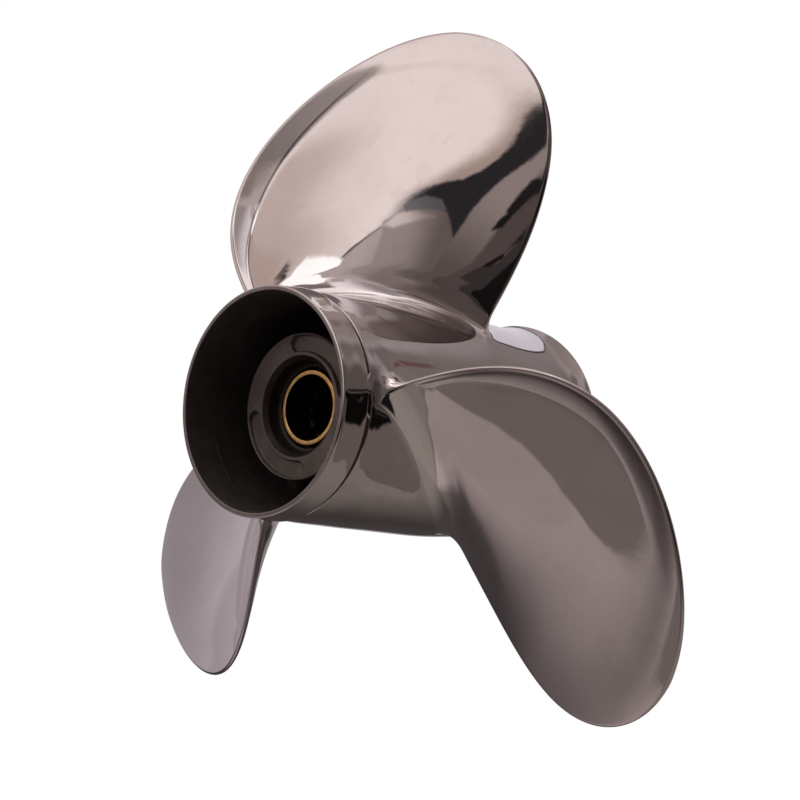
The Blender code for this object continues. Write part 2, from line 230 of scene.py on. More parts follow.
def round_corners(points, n=7):
    """A line of (ax, r, corner radius) with its corners rounded: list of (ax, r)."""
    out = []
    P = [np.array(p[:2], float) for p in points]
    for i, p in enumerate(P):
        rad = points[i][2] if len(points[i]) > 2 else 0
        if rad <= 0 or i in (0, len(P) - 1):
            out.append(tuple(p))
            continue
        a, b = P[i - 1] - p, P[i + 1] - p
        la, lb = np.linalg.norm(a), np.linalg.norm(b)
        a, b = a / la, b / lb
        half = math.acos(max(-1, min(1, float(a @ b)))) / 2
        t = min(rad / math.tan(half), la * 0.49, lb * 0.49)
        r = t * math.tan(half)
        mid = (a + b) / np.linalg.norm(a + b)
        c = p + mid * (r / math.sin(half))
        s0, s1 = p + a * t - c, p + b * t - c
        a0, a1 = math.atan2(s0[1], s0[0]), math.atan2(s1[1], s1[0])
        da = (a1 - a0 + math.pi) % (2 * math.pi) - math.pi
        for k in range(n + 1):
            w = a0 + da * k / n
            out.append((c[0] + r * math.cos(w), c[1] + r * math.sin(w)))
    return out


def lathe(name, loop, steps, materials, band=None, radius=None):
    """A closed profile of (ax, r) turned about the shaft.  band(i) gives the
    material of the strip after point i; radius(a, ax, r) may change r."""
    loop = [loop[0]] + [q for p, q in zip(loop, loop[1:]) if
                        abs(q[0] - p[0]) + abs(q[1] - p[1]) > 1e-6]
    if abs(loop[0][0] - loop[-1][0]) + abs(loop[0][1] - loop[-1][1]) < 1e-6:
        loop = loop[:-1]
    n = len(loop)
    ax = np.array([p[0] for p in loop])[:, None]
    r = np.array([p[1] for p in loop])[:, None]
    a = (np.arange(steps) * 360 / steps)[None]
    ax, r, a = (np.broadcast_to(v, (n, steps)) for v in (ax, r, a))
    if radius is not None:
        ax, r = radius(a, ax, r)
    V = xyz(np.array(r), np.array(a), np.array(ax)).reshape(-1, 3)
    faces, idx = [], []
    for i in range(n):
        i2 = (i + 1) % n
        m = band(i, loop) if band else 0
        for j in range(steps):
            j2 = (j + 1) % steps
            faces.append((i * steps + j, i * steps + j2, i2 * steps + j2, i2 * steps + j))
            idx.append(m)
    return add_object(name, V, faces, materials, idx)


# ================================================================ materials
def lin(*srgb):
    """sRGB 0..255 to linear."""
    return tuple((c / 255 / 12.92) if c <= 10.3 else ((c / 255 + 0.055) / 1.055) ** 2.4
                 for c in srgb)


class Tree:
    """Short hand for building a node tree."""

    def __init__(self, tree):
        self.t = tree
        self.n = tree.nodes
        self.n.clear()

    def add(self, kind, **props):
        node = self.n.new(kind)
        for k, v in props.items():
            setattr(node, k, v)
        return node

    def put(self, node, key, value):
        sock = node.inputs[key]
        if isinstance(value, bpy.types.NodeSocket):
            self.t.links.new(value, sock)
        elif value is not None:
            sock.default_value = value
        return node

    def math(self, op, a, b=None, c=None, clamp=False):
        node = self.add("ShaderNodeMath", operation=op, use_clamp=clamp)
        for i, v in enumerate((a, b, c)):
            if v is not None:
                self.put(node, i, v)
        return node.outputs[0]

    def vec(self, op, a, b=None, scale=None):
        node = self.add("ShaderNodeVectorMath", operation=op)
        self.put(node, 0, a)
        if b is not None:
            self.put(node, 1, b)
        if scale is not None:
            self.put(node, "Scale", scale)
        return node.outputs["Value" if op in ("DOT_PRODUCT", "LENGTH", "DISTANCE") else 0]

    def ramp(self, x, a, b, lo=0.0, hi=1.0, kind="SMOOTHSTEP"):
        node = self.add("ShaderNodeMapRange", interpolation_type=kind, clamp=True)
        for k, v in (("Value", x), ("From Min", a), ("From Max", b), ("To Min", lo), ("To Max", hi)):
            self.put(node, k, v)
        return node.outputs[0]

    def noise(self, vector, scale, detail=2.0, rough=0.5, distort=0.0, kind="FBM"):
        node = self.add("ShaderNodeTexNoise", noise_dimensions="3D", noise_type=kind)
        for k, v in (("Vector", vector), ("Scale", scale), ("Detail", detail),
                     ("Roughness", rough), ("Distortion", distort)):
            self.put(node, k, v)
        return node.outputs["Fac"]

    def mix(self, fac, a, b):
        node = self.add("ShaderNodeMix", data_type="RGBA")
        self.put(node, 0, fac)
        self.put(node, 6, a)
        self.put(node, 7, b)
        return node.outputs[2]

    def bump(self, height, distance, strength=1.0, normal=None):
        node = self.add("ShaderNodeBump")
        self.put(node, "Height", height)
        self.put(node, "Distance", distance)
        self.put(node, "Strength", strength)
        if normal is not None:
            self.put(node, "Normal", normal)
        return node.outputs[0]


def rgba(c):
    return (*c, 1.0)


def new_material(name):
    m = bpy.data.materials.new(name)
    m.use_nodes = True
    return m, Tree(m.node_tree)


def finish_material(t, **sockets):
    p = t.add("ShaderNodeBsdfPrincipled")
    for k, v in sockets.items():
        t.put(p, k.replace("_", " "), v)
    out = t.add("ShaderNodeOutputMaterial")
    t.t.links.new(p.outputs[0], out.inputs[0])


def coords(t):
    """Object coordinates in millimetres."""
    tc = t.add("ShaderNodeTexCoord")
    return t.vec("SCALE", tc.outputs["Object"], scale=1000.0)


def polished_steel(name, seed):
    """Hand-polished stainless steel: a clean mirror with a faint haze that
    comes and goes, and fine straight scratches."""
    m, t = new_material(name)
    p = t.vec("ADD", coords(t), (seed * 17.3, seed * 5.1, -seed * 9.7))
    haze = t.noise(p, 0.035, 4, 0.6, 0.4)
    fine = t.noise(p, 0.35, 3, 0.6)
    smudge = t.ramp(t.noise(p, 0.09, 5, 0.65, 1.2), 0.52, 0.74)
    rough = t.math("ADD", t.ramp(haze, 0.3, 0.75, 0.02, 0.05), t.math("MULTIPLY", smudge, 0.03))
    rough = t.math("ADD", rough, t.math("MULTIPLY", fine, 0.01))
    colour = t.mix(t.ramp(haze, 0.25, 0.8), rgba((0.665, 0.63, 0.615)), rgba((0.61, 0.575, 0.565)))
    colour = t.mix(t.math("MULTIPLY", smudge, 0.35), colour, rgba((0.52, 0.49, 0.475)))
    if "blade" in name:
        inset, satin_and_sheen, line, dim, root, back = (t.add("ShaderNodeAttribute", attribute_name=k).outputs["Fac"]
                                               for k in ("inset", "satin_and_sheen", "line", "dim", "root", "back"))
        # painted highlight: the root fillet is coloured as the brightest steel
        colour = t.mix(root, colour, rgba((0.90, 0.865, 0.85)))
        # the lip looks satin in the photograph; its weight per blade is chosen to match that
        rough = t.math("ADD", rough, t.math("MULTIPLY", satin_and_sheen, t.ramp(inset, 1.0, 1.4, 0.30, 0.0)))
        # painted sheen: the same weight makes the lip's colour lighter and less metallic, fading out inside the face
        painted_lip_sheen = t.math("MULTIPLY", t.math("MULTIPLY", satin_and_sheen, satin_and_sheen), t.ramp(inset, 0.95, 1.35))
        painted_lip_sheen = t.math("SUBTRACT", t.math("MULTIPLY", satin_and_sheen, satin_and_sheen), painted_lip_sheen)
        # painted highlight: it is brightest just before the line where it leaves the face, on blade one
        inner = t.math("MULTIPLY", t.ramp(inset, 0.5, 0.9), t.ramp(inset, 0.93, 0.98, 1.0, 0.0))
        painted_lip_sheen = t.math("MAXIMUM", painted_lip_sheen, t.math("MULTIPLY", line, inner))
        colour = t.mix(painted_lip_sheen, colour, rgba((0.83, 0.79, 0.785)))
        # painted shade: a dark line where the lip leaves the face, on blade one
        edge = t.math("MULTIPLY", t.ramp(inset, 0.93, 0.99), t.ramp(inset, 1.03, 1.09, 1.0, 0.0))
        colour = t.mix(t.math("MULTIPLY", line, edge), colour, rgba((0.10, 0.09, 0.088)))
        # painted shade over blade two's lip, darkest near its edge
        shade = t.math("MULTIPLY", t.ramp(inset, 0.08, 0.2), t.ramp(inset, 0.2, 1.6, 1.0, 0.0))
        colour = t.mix(t.math("MULTIPLY", dim, shade), colour, rgba((0.13, 0.115, 0.11)))
        # painted shade on the far side's strip along blade three's trailing edge
        colour = t.mix(back, colour, rgba((0.14, 0.125, 0.12)))
    # scratches: thin stretched ridges in one direction
    st = t.add("ShaderNodeMapping")
    t.put(st, "Vector", p)
    st.inputs["Rotation"].default_value = (0.5, 0.3, 0.9 + seed)
    st.inputs["Scale"].default_value = (2.6, 0.05, 0.9)
    scr = t.ramp(t.noise(st.outputs[0], 1.0, 2, 0.5), 0.70, 0.76)
    where = t.ramp(t.noise(p, 0.028, 2, 0.5), 0.52, 0.66)
    scr = t.math("MULTIPLY", scr, where)
    micro = t.math("ADD", t.math("MULTIPLY", t.noise(p, 0.12, 3, 0.55), 0.05),
                   t.math("MULTIPLY", fine, 0.004))
    height = t.math("SUBTRACT", micro, t.math("MULTIPLY", scr, 0.002))
    nrm = t.bump(height, 0.001, 0.25)
    # the painted sheen on the blades' lip also lowers the metal
    metal = t.math("SUBTRACT", 1.0, t.math("MULTIPLY", painted_lip_sheen, 0.6)) if "blade" in name else 1.0
    finish_material(t, Base_Color=colour, Metallic=metal, Roughness=rough, Normal=nrm)
    return m


def cast_steel(name, seed, base=(0.24, 0.215, 0.195), rough=0.55, grain=0.12):
    """Sand-cast steel as it leaves the mould, blasted matt."""
    m, t = new_material(name)
    p = t.vec("ADD", coords(t), (seed * 3.1, -seed * 7.7, seed * 2.3))
    big = t.noise(p, 0.12, 4, 0.6)
    small = t.noise(p, 1.7, 4, 0.7)
    grit = t.noise(p, 4.5, 2, 0.6)
    colour = t.mix(t.ramp(big, 0.3, 0.7), rgba(base), rgba(tuple(c * 0.72 for c in base)))
    colour = t.mix(t.ramp(small, 0.5, 0.85, 0, 0.35), colour, rgba(tuple(c * 0.45 for c in base)))
    if "inner_hub" in name:
        # painted shade: the two recesses are darkened, most of all along their walls
        low = t.add("ShaderNodeAttribute", attribute_name="low").outputs["Fac"]
        wall = t.math("MULTIPLY", t.ramp(low, 0.05, 0.45), t.ramp(low, 0.7, 1.0, 1.0, 0.0))
        recess_painted_shade = t.math("MAXIMUM", t.ramp(low, 0.2, 0.9, 0.0, 0.35), t.math("MULTIPLY", wall, 0.85))
        colour = t.mix(recess_painted_shade, colour, rgba(tuple(c * 0.14 for c in base)))
    height = t.math("ADD", t.math("MULTIPLY", small, grain), t.math("MULTIPLY", grit, grain * 0.4))
    finish_material(t, Base_Color=colour, Metallic=0.75,
                    Roughness=t.ramp(small, 0.2, 0.8, rough - 0.08, rough + 0.12),
                    Normal=t.bump(height, 0.001, 0.6))
    return m


def rubber(name):
    m, t = new_material(name)
    p = coords(t)
    n = t.noise(p, 0.8, 4, 0.6)
    finish_material(t, Base_Color=t.mix(n, rgba((0.012, 0.011, 0.011)), rgba((0.03, 0.028, 0.026))),
                    Roughness=t.ramp(n, 0.2, 0.8, 0.55, 0.8),
                    Normal=t.bump(t.math("MULTIPLY", t.noise(p, 2.0, 3, 0.6), 0.08), 0.001, 0.6))
    return m


def brass(name):
    m, t = new_material(name)
    p = coords(t)
    n = t.noise(p, 0.25, 4, 0.6)
    ring = t.add("ShaderNodeMapping")
    t.put(ring, "Vector", p)
    ring.inputs["Scale"].default_value = (0.3, 6.0, 0.3)
    turn = t.noise(ring.outputs[0], 1.0, 3, 0.6)
    finish_material(t, Base_Color=t.mix(t.ramp(n, 0.3, 0.75), rgba((0.72, 0.47, 0.20)), rgba((0.50, 0.30, 0.12))),
                    Metallic=1.0, Roughness=t.ramp(n, 0.2, 0.8, 0.24, 0.42),
                    Normal=t.bump(t.math("MULTIPLY", turn, 0.02), 0.001, 0.5))
    return m


STEEL = {k: polished_steel("steel_" + k, i) for i, k in enumerate(
    ("barrel", "ring", "blade_1", "blade_2", "blade_3"))}
CAST_IN = cast_steel("cast_barrel_inside", 1, (0.19, 0.175, 0.165), 0.5, 0.05)
RIM = cast_steel("steel_rim", 7, (0.27, 0.25, 0.24), 0.28, 0.02)
CAST_CORE = cast_steel("cast_inner_hub", 2, (0.185, 0.165, 0.152), 0.5, 0.20)
# painted shade: the mouth of the inner hub's bore is coloured near black
MOUTH_PAINTED_SHADE = cast_steel("mouth_painted_shade", 5, (0.05, 0.044, 0.04), 0.5, 0.06)
# the sleeve's bore is coloured near black
BORE = cast_steel("sleeve_bore_near_black", 6, (0.028, 0.022, 0.012), 0.45, 0.03)
CAST_WEB = cast_steel("cast_web", 3, (0.075, 0.068, 0.064))
GROOVE = cast_steel("steel_groove_floor", 4, (0.20, 0.165, 0.15), 0.38, 0.03)
RUBBER = rubber("bushing_black_rubber")
BRASS = brass("sleeve_brass_metal")


def place(ob, slot, *nodes):
    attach(ob, "root")
    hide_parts(*nodes)
    return ob


# ================================================================ blades
NOSE_N, BODY_N = 13, 84            # lines round an edge and across a face
FILLET_N, SPAN_N = 22, 118         # rows in the root fillet and out to the tip
CAP_N = 6                          # lines across the hidden underside


def chord_places(chord):
    """Distances from the trailing edge of the lines along a section, for an
    array of chords: fine round both edges, even between."""
    chord = np.asarray(chord, float)[..., None]
    w = EDGE_W * np.clip(chord / 14, 0, 1)
    psi = np.radians(90) * np.arange(NOSE_N) / NOSE_N
    nose = w * (1 - np.cos(psi))
    t = np.arange(BODY_N + 1) / BODY_N
    g = t - 0.62 * np.sin(2 * np.pi * t) / (2 * np.pi)       # finer near the ends
    body = w + (chord - 2 * w) * g
    return np.concatenate([nose, body, chord - nose[..., ::-1]], -1)


def half_thickness(r, s, chord, d):
    """Half the blade's thickness at distance d from the outline."""
    span = (r - ROOT_R) / (TIP_R - ROOT_R)
    T = TIP_T + (ROOT_T - TIP_T) * np.clip(1 - span, 0, 1) ** 1.25
    c = np.clip(s / np.maximum(chord, 1e-6), 0, 1)
    t = np.clip(d / EDGE_W, 0, 1)
    return EDGE_R * np.sqrt(np.clip(1 - (1 - t) ** 2, 0, 1)) + (T / 2 - EDGE_R) * 4 * c * (1 - c)


def blade_rows():
    """(height over the barrel, flare) of each row from the hidden underside
    to the top of the root fillet."""
    rows = [(-0.9, FILLET + 0.7), (-0.10, FILLET + 0.7), (-0.03, FILLET + 0.35)]
    for i in range(FILLET_N + 1):
        phi = math.radians(90) * (1 - i / FILLET_N)
        rows.append((FILLET * max(1 - math.sin(phi), 0) ** FILLET_Q,
                     FILLET * (1 - math.cos(phi)) ** FILLET_Q))
    return rows


def blade_side_points(base, flare, side):
    """Row of points (x, y, z) on one side (-1 pressure, +1 suction) for the
    base radius 40.4 + height."""
    a0, a1 = edge_angles(np.array([base]))
    P = spline(*zip(*PITCH), np.array([base]))
    chord = float(((a1 - a0) * np.hypot(np.radians(1) * base, P / 360))[0])
    s = chord_places(chord)
    c = s / max(chord, 1e-9)
    w = 1 - float(smoothstep(48, 80, base))
    r = np.full(len(c), base, float)

    def at(r):
        r = np.maximum(r, ROOT_R + 0.02)
        b0, b1 = edge_angles(r)
        th = b0 + (b1 - b0) * c
        M = mean_sheet(r, th)
        return r, b0, b1, th, M

    for _ in range(3):
        rr, b0, b1, th, M = at(r)
        r = base + w * (barrel_r(M[:, 1]) - 40.4)
    rr, b0, b1, th, M = at(r)
    # normal of the mean sheet, from small steps along and across it
    dr, dt = 0.02, 0.02
    up = mean_sheet(np.minimum(rr + dr, TIP_R - 1e-4), th)
    dn = mean_sheet(rr - dr, th)
    fo = mean_sheet(rr, th + dt)
    bk = mean_sheet(rr, th - dt)
    # along the chord the cup's bend is read one-sided at the trailing edge
    eR, eT = up - dn, fo - bk
    n = np.cross(eR, eT)
    n /= np.linalg.norm(n, axis=1, keepdims=True)
    n = np.where(n[:, 1:2] < 0, -n, n)
    d, _u = nearest(xyz(rr, th, plain_mean(rr, th)), 0, 1)
    Pr = spline(*zip(*PITCH), rr)
    k = np.hypot(np.radians(1) * rr, Pr / 360)
    ch = (b1 - b0) * k
    h = half_thickness(rr, c * ch, ch, d)
    pts = M + side * h[:, None] * n
    if flare > 0:
        # outward normal of the section in its unrolled plane: round the noses it
        # swings from straight out along the chord to square to the face
        cx, cy = np.radians(1) * rr / k, (Pr / 360) / k              # along the chord
        ex, ey = -cy * side, cx * side                                # square to the face
        nose = np.clip(np.minimum(c, 1 - c) * ch / EDGE_W, 0, 1)
        ang = np.arccos(np.clip(1 - nose, -1, 1))                     # 0 at the edge, 90 deg on the face
        sgn = np.where(c < 0.5, -1, 1)
        reach = 0.70 + 0.30 * np.sin(ang) ** 2                        # shorter round the edges
        ox = (np.cos(ang) * cx * sgn + np.sin(ang) * ex) * reach
        oy = (np.cos(ang) * cy * sgn + np.sin(ang) * ey) * reach
        a = np.degrees(np.arctan2(pts[:, 0], pts[:, 2]))
        R = np.hypot(pts[:, 0], pts[:, 2])
        ax = pts[:, 1] + flare * oy
        a = a + np.degrees(flare * ox / R)
        R = base + w * (barrel_r(ax) - 40.4)
        pts = xyz(R, a, ax)
    elif w > 0.999:
        a = np.degrees(np.arctan2(pts[:, 0], pts[:, 2]))
        R = base + w * (barrel_r(pts[:, 1]) - 40.4)
        pts = xyz(R, a, pts[:, 1])
    return pts


def blade_mesh(curl):
    """The first blade's grid: rows x around (pressure side, then suction)."""
    global lip_curl
    lip_curl = curl
    rows = [(40.4 + z, f) for z, f in blade_rows()]
    top = rows[-1][0]
    u0 = float(u_of_r(np.array([top]))[0])
    for i in range(1, SPAN_N):
        u = u0 + (0.5 - u0) * (i / SPAN_N) ** 0.92
        rows.append((ROOT_R + (TIP_R - ROOT_R) * math.sin(math.pi * u), 0.0))
    press = np.array([blade_side_points(b, f, -1) for b, f in rows])
    suct = np.array([blade_side_points(b, f, +1) for b, f in rows])
    mid = (press[:, [0, -1]] + suct[:, [0, -1]]) / 2
    press[:, [0, -1]] = mid
    suct[:, [0, -1]] = mid
    return press, suct


def rotated(P, deg):
    a = math.radians(deg)
    x, y, z = P[..., 0], P[..., 1], P[..., 2]
    return np.stack([x * math.cos(a) + z * math.sin(a), y, -x * math.sin(a) + z * math.cos(a)], -1)


GRIDS = {curl: blade_mesh(curl) for curl in sorted(set(LIP_CURL))}


def grid_normals(P):
    n = np.cross(np.gradient(P, axis=0), np.gradient(P, axis=1))
    return n / (np.linalg.norm(n, axis=-1, keepdims=True) + 1e-12)


def blade_object(index):
    name = "blade_%d" % (index + 1)
    press, suct = (G.copy() for G in GRIDS[LIP_CURL[index]])
    nr, nc = press.shape[:2]
    for G, seed in ((press, index * 2.1), (suct, index * 2.1 + 1)):
        n = grid_normals(G)
        outward = np.sign((n * (press - suct + 1e-9)).sum(-1).mean()) * (1 if G is press else -1)
        c = np.minimum(np.arange(nc), np.arange(nc)[::-1])[None]
        mask = smoothstep(NOSE_N, NOSE_N + 9, c) * smoothstep(4, 24, np.arange(nr))[:, None]
        G += n * outward * (unevenness(G, seed) * mask)[..., None]
    tip_a = float(spline(EDGE_U, EDGE_A, [0.5])[0])
    tip = xyz(np.array([TIP_R]), np.array([tip_a]), plain_mean(np.array([TIP_R]), np.array([tip_a])))[0]
    ring = np.concatenate([press, suct[:, -2:0:-1]], 1)      # closed loop round the section
    m = ring.shape[1]
    V = [ring.reshape(-1, 3)]
    faces = []
    for i in range(nr - 1):
        for j in range(m):
            j2 = (j + 1) % m
            faces.append((i * m + j, i * m + j2, (i + 1) * m + j2, (i + 1) * m + j))
    count = nr * m
    V.append(tip[None])
    for j in range(m):
        faces.append(((nr - 1) * m + j, (nr - 1) * m + (j + 1) % m, count))
    count += 1
    # hidden underside, inside the barrel's wall, on lines that follow it
    p0, s0 = press[0], suct[0]
    lines = [[j for j in range(nc)]]
    for k in range(1, CAP_N):
        t = k / CAP_N
        q = p0[1:-1] * (1 - t) + s0[1:-1] * t
        a = np.degrees(np.arctan2(q[:, 0], q[:, 2]))
        R = barrel_r(q[:, 1]) - 0.9
        V.append(xyz(R, a, q[:, 1]))
        lines.append([0] + list(range(count, count + nc - 2)) + [nc - 1])
        count += nc - 2
    lines.append([0] + [m - j for j in range(1, nc - 1)] + [nc - 1])
    for lo, hi in zip(lines, lines[1:]):
        for j in range(nc - 1):
            q = [lo[j], lo[j + 1], hi[j + 1], hi[j]]
            q = [v for i, v in enumerate(q) if v not in q[:i]]
            if len(q) > 2:
                faces.append(tuple(q))
    ob = add_object(name + "_casting", rotated(np.concatenate(V), 0), faces, [STEEL[name]])
    P = np.concatenate(V)
    r = np.hypot(P[:, 0], P[:, 2])
    lift = r - barrel_r(P[:, 1])
    d, _ = nearest(P, 0.0, 0.56)
    values = {"inset": np.clip(d / spline(*zip(*CUP_W), np.clip(r, 40, 141)), 0, 4),
              # per blade: a rougher lip, and a painted sheen on it
              "satin_and_sheen": (1.0, 0.5, 0.0)[index] * (0.12 + 0.88 * smoothstep(90, 116, r))
              * (1 - smoothstep(*((126, 136) if index == 0 else (119, 131)), r)),
              # painted highlight on the root fillet, reaching further up on blade two
              "root": smoothstep(0.2, 0.7, lift) * np.maximum(
                  1 - smoothstep(2.3, 3.8, lift), (0.75 if index == 1 else 0.0) * (1 - smoothstep(3.8, 6.8, lift))),
              # painted shade and painted highlight along the lip's inner line, blade one only
              "line": (0.75 if index == 0 else 0.0) * smoothstep(58, 66, r) * (1 - smoothstep(118, 132, r)),
              # painted shade on blade two's lip
              "dim": (0.85 if index == 1 else 0.0) * smoothstep(52, 70, r) * (1 - smoothstep(118, 139, r))}
    # painted shade: the far side's strip along the trailing edge is darkened on blade three
    side = np.zeros(len(P))
    j = np.arange(nr * m) % m
    side[:nr * m] = (j == 0) | (j >= nc)
    values["back"] = (0.85 if index == 2 else 0.0) * side * (1 - smoothstep(9, 16, d)) * smoothstep(38, 41, r)
    for key, v in values.items():
        ob.data.attributes.new(key, "FLOAT", "POINT").data.foreach_set("value", v.astype(np.float32))
    ob.data.transform(Matrix.Rotation(math.radians(120 * index), 4, "Y"))
    return place(ob, "polished_steel", name)


for k in range(3):
    blade_object(k)

# ================================================================ barrel
outer = [(ax, float(barrel_r(ax))) for ax in np.linspace(-89.6, 26.2, 88)]
loop = round_corners(
    [(-90.72, 36.9), (-90.72, 38.12, 0.45)] + outer[1:] +
    [(27.2, 42.25, 0.55), (27.2, 40.7, 0.5), (22, 39.2, 3), (14, 38.3, 6), (0, 38.2), (-20, 38.2, 20),
     (-40, 36.7, 30), (-90.2, 36.403), (-90.6, 36.4), (-90.72, 36.4), (-90.72, 36.9)])


def by_place(inside):
    """Material 1 where inside(ax, r) holds at the middle of a strip, else 0."""
    def band(i, loop):
        (a, r), (b, s) = loop[i], loop[(i + 1) % len(loop)]
        return 1 if inside((a + b) / 2, (r + s) / 2) else 0
    return band


def bore_side(ax, r):
    return r < (40.2 if ax > 20 else 39.0 if ax > 10 else 38.3 if ax > -60 else 37.3)


place(lathe("hub_barrel_casting", loop, 320, [STEEL["barrel"], CAST_IN], by_place(bore_side)),
      "polished_steel", "hub_barrel")

# ================================================================ aft ring
ring_out = [(ax, float(spline((-103, -98, -94.5, -92), (38.35, 38.72, 39.05, 39.12), [ax])[0]))
            for ax in np.linspace(-101.9, -93.9, 12)]
loop = round_corners(
    [(-103.5, 37.2), (-103.5, 38.28, 0.85)] + ring_out +
    [(-93.1, 39.1, 0.45), (-92.75, 37.55, 0.4), (-90.74, 37.45, 0.05), (-90.74, 36.4, 0.02), (-90.86, 36.4), (-91.3, 36.4),
     (-97.0, 36.42, 6),
     (-102.4, 36.55), (-103.5, 36.62, 0.45), (-103.5, 37.2)], 9)
place(lathe("aft_ring_casting", loop, 320, [STEEL["ring"], CAST_IN, GROOVE, RIM],
            lambda i, loop: 2 if loop[i][0] > -93.0 and loop[i][1] > 37.4 and loop[i][1] < 38.75
            else 3 if by_place(lambda ax, r: ax < -102.7 and 36.7 < r < 37.8)(i, loop)
            else by_place(lambda ax, r: r < (36.75 if ax < -95 else 37.3))(i, loop)),
      "polished_steel", "aft_ring")


# ================================================================ inner hub
CORE_R, CORE_AFT = 24.83, -85.85
RECESS = (18.4, 24.2, 1.7)         # inner and outer radius, depth
ARCS = [(-9.7, 88.0), (173.0, 270.0)]


def recess_depth(a, r):
    """Depth of the two arc recesses at angle a, radius r: round ends, drawn walls."""
    r0, r1, deep = RECESS
    rm, rc = (r0 + r1) / 2, (r1 - r0) / 2
    best = np.full(np.shape(r), 1e9)
    for s, e in ARCS:
        da = math.degrees(rc / rm)
        s, e = s + da, e - da
        mid, half = (s + e) / 2, (e - s) / 2
        w = (a - mid + 180) % 360 - 180
        over = np.clip(np.abs(w) - half, 0, None)
        t = np.radians(over)
        dx = np.sqrt(np.maximum(r * r + rm * rm - 2 * r * rm * np.cos(t), 0))
        inside = np.where(over > 0, dx, np.abs(r - rm))
        best = np.minimum(best, inside - rc)
    return deep * (1 - smoothstep(-0.36, 0.1, best))


face = [(CORE_AFT, r) for r in np.linspace(CORE_R - 0.55, 17.45, 42)]
core_loop = round_corners(
    [(-3.0, 22.3), (-5.5, CORE_R, 1.2), (-45, CORE_R), (-82, CORE_R), (CORE_AFT, CORE_R, 0.55)] + face[1:-1] +
    [(CORE_AFT, 17.2, 1.0), (CORE_AFT + 1.6, 15.6, 1.0), (-81.0, 15.35), (-80.2, 14.85, 0.2), (-79.9, 13.8, 0.25),
     (-77.6, 13.8), (-77.4, 19.4), (-3.0, 19.4), (-3.0, 22.3)], 6)


def core_shape(a, ax, r):
    on_face = (ax < CORE_AFT + 0.02) & (r > 17.9) & (r < 24.6)
    return ax + np.where(on_face, recess_depth(a, r), 0), r


# the bore's mouth, under r 17.3, takes the near-black painted shade
core = place(lathe("inner_hub_casting", core_loop, 480, [CAST_CORE, MOUTH_PAINTED_SHADE],
                   by_place(lambda ax, r: r < 17.3), radius=core_shape), "cast_steel", "inner_hub")
# depth into the recesses, which carries their painted shade
low = np.array([(v.co.y - CORE_AFT) / RECESS[2] if v.co.y < CORE_AFT + RECESS[2] + 0.05
                and 17.9 < math.hypot(v.co.x, v.co.z) < 24.45 else 0.0 for v in core.data.vertices])
core.data.attributes.new("low", "FLOAT", "POINT").data.foreach_set("value", low.astype(np.float32))

# ================================================================ bushing
bush = round_corners([(-4.5, 15.0), (-4.5, 19.1, 0.8), (-40, 19.1), (-76.9, 19.1, 0.6), (-76.9, 16.0),
                      (-76.9, 13.1, 0.5), (-40, 13.1), (-4.5, 13.1, 0.5), (-4.5, 15.0)])
place(lathe("rubber_bushing_moulded", bush, 192, [RUBBER]), "bushing_rubber", "rubber_bushing")

# ================================================================ sleeve
sl = [(0.0, 11.2), (0.0, 12.8, 0.5), (-40, 12.8), (-80.7, 12.8, 0.3), (-80.7, 11.15, 0.3), (-69.2, 11.15, 0.4),
      (-68.2, 9.4)]
sl += [(ax, 9.4) for ax in np.linspace(-66, -1.2, 12)] + [(0.0, 10.3), (0.0, 11.2)]
sl = round_corners(sl, 5)


def splined(a, ax, r):
    """Thirteen splines: the bore steps out to the groove between two teeth."""
    w = (a / (360 / 13)) % 1.0
    d = np.abs(w - 0.5) * 2
    groove = 1 - smoothstep(0.44, 0.58, d)
    cut = np.where((r < 10.9) & (ax < -0.1), (10.9 - r) * groove, 0)
    return ax, r + cut


# the bore inside r 11.3 is near black
place(lathe("spline_sleeve_brass", sl, 416, [BRASS, BORE], by_place(lambda ax, r: r < 11.3), radius=splined), "sleeve_brass", "spline_sleeve")


